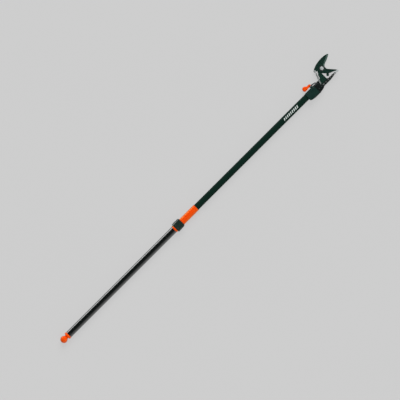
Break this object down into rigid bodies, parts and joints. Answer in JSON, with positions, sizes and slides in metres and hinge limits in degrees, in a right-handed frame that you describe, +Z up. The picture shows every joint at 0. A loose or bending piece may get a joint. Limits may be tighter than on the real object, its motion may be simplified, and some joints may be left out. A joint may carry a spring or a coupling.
{
  "type": "telescoping pole pruner",
  "caption": "Telescoping pole pruner: a sliding two-stage pole with a clamp collar, a pull ball, and a turning head whose blade is closed by a chain.",
  "frame": {"origin": "on the ground under the middle of the clamp collar, on the collar's flat underside", "axes": "+X up the pole towards the cutting head, +Y to the blade side, +Z up from the ground the tool lies on"},
  "size_m": [1.9607, 0.1206, 0.036],
  "materials": {
    "gloss_black": "lacquered glass-fibre tube, deep gloss",
    "pole_green": "satin dark green glass-fibre tube",
    "orange": "moulded, soft gloss",
    "black_plastic": "moulded, fine grain",
    "housing_green": "moulded dark green-grey, fine grain",
    "rubber_black": "soft wiper",
    "frame_green": "powder-coated steel plate",
    "blade_coat": "low-friction coating with a ground bevel",
    "zinc": "zinc plated",
    "dark_steel": "oiled dark steel",
    "chain_black": "blackened, oiled",
    "bronze": "sintered bush",
    "strap_web": "woven polyester webbing",
    "cord": "braided nylon"
  },
  "bodies": {
    "lower_pole": {"lower_tube": "gloss_black", "collar_ring": "orange", "clamp_collar": "black_plastic", "collar_screw_a": "dark_steel", "collar_screw_b": "dark_steel", "clamp_shoe": "black_plastic", "clamp_pin": "zinc", "grip_sleeve": "orange", "wiper_ring": "rubber_black", "end_plug": "orange", "plug_rivet_front": "zinc", "plug_rivet_back": "zinc"},
    "clamp_lever": {"clamp_lever": "black_plastic"},
    "pull_ball": {"pull_ball": "orange", "pull_cord": "cord", "cord_stop": "zinc", "cord_ferrule": "zinc"},
    "upper_pole": {"upper_tube": "pole_green", "stop_bush": "black_plastic", "guide_bush": "black_plastic", "housing_front": "housing_green", "housing_back": "housing_green", "housing_screw_a": "dark_steel", "housing_screw_b": "dark_steel", "housing_screw_c": "dark_steel", "latch_pin": "zinc"},
    "latch": {"latch_lever": "orange", "latch_pawl": "dark_steel"},
    "strap": {"strap_clip": "zinc", "drive_strap": "strap_web", "cord_gripper": "black_plastic"},
    "head": {"head_frame": "frame_green", "base_front": "black_plastic", "base_back": "black_plastic", "base_screw_a": "dark_steel", "base_screw_b": "dark_steel", "cover_screw_a": "dark_steel", "cover_screw_b": "dark_steel", "swivel_ring": "zinc", "pivot_washer": "dark_steel", "pivot_bolt": "zinc", "pivot_nut": "zinc"},
    "blade": {"cutting_blade": "blade_coat", "tail_stud": "zinc", "lever_bush": "bronze"},
    "spring": {"return_spring": "zinc"},
    "chain": {"top_link": "zinc", "inner_link_1": "chain_black", "outer_link_2": "chain_black", "inner_link_3": "chain_black", "outer_link_4": "chain_black", "inner_link_5": "chain_black", "chain_pin_1": "zinc", "chain_pin_2": "zinc", "chain_pin_3": "zinc", "chain_pin_4": "zinc", "chain_pin_5": "zinc", "chain_pin_6": "zinc", "swivel_eye": "zinc"}
  },
  "joints": [
    {"name": "telescope_slide", "type": "slide", "parent": "lower_pole", "child": "upper_pole", "axis": [-1, 0, 0], "range_m": [0, 0.6]},
    {"name": "clamp_lever_hinge", "type": "hinge", "parent": "lower_pole", "child": "clamp_lever", "pos_m": [0.013, 0.0222, 0.018], "axis": [0, 0, -1], "range_deg": [0, 100]},
    {"name": "ball_pull", "type": "slide", "parent": "lower_pole", "child": "pull_ball", "axis": [-1, 0, 0], "range_m": [0, 0.094]},
    {"name": "latch_press", "type": "hinge", "parent": "upper_pole", "child": "latch", "pos_m": [0.9575, 0.025, 0.018], "axis": [0, 0, 1], "range_deg": [0, 8], "stiffness_Nm_per_rad": 1.2, "springref_deg": -8.59},
    {"name": "strap_slide", "type": "slide", "parent": "upper_pole", "child": "strap", "axis": [-1, 0, 0], "range_m": [0, 0.094]},
    {"name": "head_swivel", "type": "hinge", "parent": "upper_pole", "child": "head", "pos_m": [0.968, -0.011, 0.018], "axis": [1, 0, 0], "range_deg": [-115, 115]},
    {"name": "blade_close", "type": "hinge", "parent": "head", "child": "blade", "pos_m": [1.06, 0.049, 0.018], "axis": [0, 0, -1], "range_deg": [0, 73], "stiffness_Nm_per_rad": 0.9, "springref_deg": -57.3, "deforming": ["return_spring"]},
    {"name": "spring_stretch", "type": "slide", "parent": "head", "child": "spring", "axis": [0.8482, 0.5297, 0], "range_m": [0, 0.0442], "deforming": ["return_spring"]},
    {"name": "chain_slide", "type": "slide", "parent": "head", "child": "chain", "axis": [-1, 0, 0], "range_m": [0, 0.094]}
  ],
  "couplings": [
    {"joint": "spring_stretch", "follows": "blade_close", "m_per_rad": 0.034626},
    {"joint": "chain_slide", "follows": "blade_close", "m_per_rad": 0.072},
    {"joint": "strap_slide", "follows": "blade_close", "m_per_rad": 0.072},
    {"joint": "ball_pull", "follows": "blade_close", "m_per_rad": 0.072}
  ]
}
